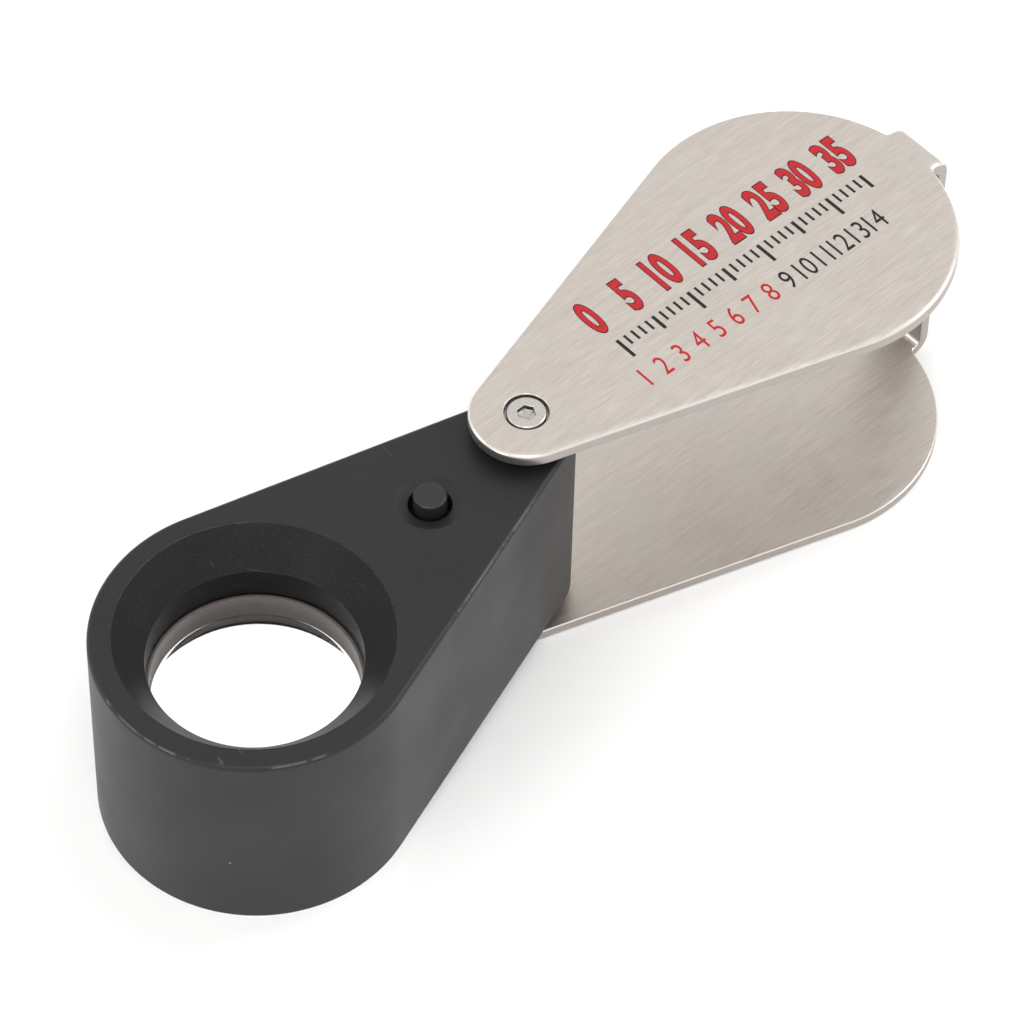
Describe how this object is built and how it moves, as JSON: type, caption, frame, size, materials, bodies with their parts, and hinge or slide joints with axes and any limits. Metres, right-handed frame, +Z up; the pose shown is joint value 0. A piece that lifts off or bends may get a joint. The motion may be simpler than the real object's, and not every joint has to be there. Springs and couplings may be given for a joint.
{
  "type": "folding illuminated loupe",
  "caption": "Folding inspection loupe: black metal body with a triplet lens, ring of lights and push button, swinging on screws inside a U-shaped steel cover.",
  "frame": {"origin": "middle of the open object's box, on the surface that the lower cover plate stands on", "axes": "+Z up out of the eyepiece, +X from the lens towards the cover's closed end"},
  "size_m": [0.1124, 0.0358, 0.031],
  "materials": {
    "stainless": "fine diagonal brushing, satin",
    "screw_steel": "turned, semi-bright",
    "nylon": "smooth",
    "black_anodised": "satin black anodised",
    "black_plate": "satin black",
    "lens_glass": "polished",
    "blackened_barrel": "matt blackened",
    "ring_bronze": "satin grey-brown",
    "frosted_guide": "frosted acrylic",
    "led_board_white": "white solder mask",
    "led_phosphor": "phosphor gel",
    "led_violet": "clear violet gel",
    "button_black": "fine moulded satin",
    "switch_cream": "moulded",
    "switch_case": "moulded",
    "spring_steel": "rolled spring strip",
    "solder_mask": "green solder mask",
    "cell_foil": "pouch foil",
    "port_steel": "plated",
    "port_tongue": "moulded",
    "wire_red": "insulation",
    "wire_black": "insulation"
  },
  "bodies": {
    "cover": {"cover_shell": "stainless"},
    "loupe": {"upper_pivot_screw": "screw_steel", "lower_pivot_screw": "screw_steel", "upper_washer": "nylon", "lower_washer": "nylon", "body_housing": "black_anodised", "base_plate": "black_plate", "base_screw_1": "screw_steel", "base_screw_2": "screw_steel", "base_screw_3": "screw_steel", "lens_front_element": "lens_glass", "lens_middle_element": "lens_glass", "lens_rear_element": "lens_glass", "lens_barrel": "blackened_barrel", "lens_retaining_ring": "ring_bronze", "light_guide": "frosted_guide", "led_board": "led_board_white", "led_1": "led_phosphor", "led_2": "led_phosphor", "led_3": "led_phosphor", "led_4": "led_violet", "switch_housing": "switch_case", "switch_dome": "spring_steel", "main_board": "solder_mask", "battery_cell": "cell_foil", "usb_socket": "port_steel", "usb_tongue": "port_tongue", "battery_lead_red": "wire_red", "battery_lead_black": "wire_black", "led_lead_red": "wire_red", "led_lead_black": "wire_black"},
    "button": {"button_cap": "button_black", "switch_plunger": "switch_cream"}
  },
  "joints": [
    {"name": "cover_hinge", "type": "hinge", "parent": "cover", "child": "loupe", "pos_m": [-0.0016, 0.00127, 0.0155], "axis": [0, 0, 1], "continuous": true},
    {"name": "button_press", "type": "slide", "parent": "loupe", "child": "button", "axis": [0, 0, -1], "range_m": [0, 0.0004], "stiffness_N_per_m": 800}
  ]
}
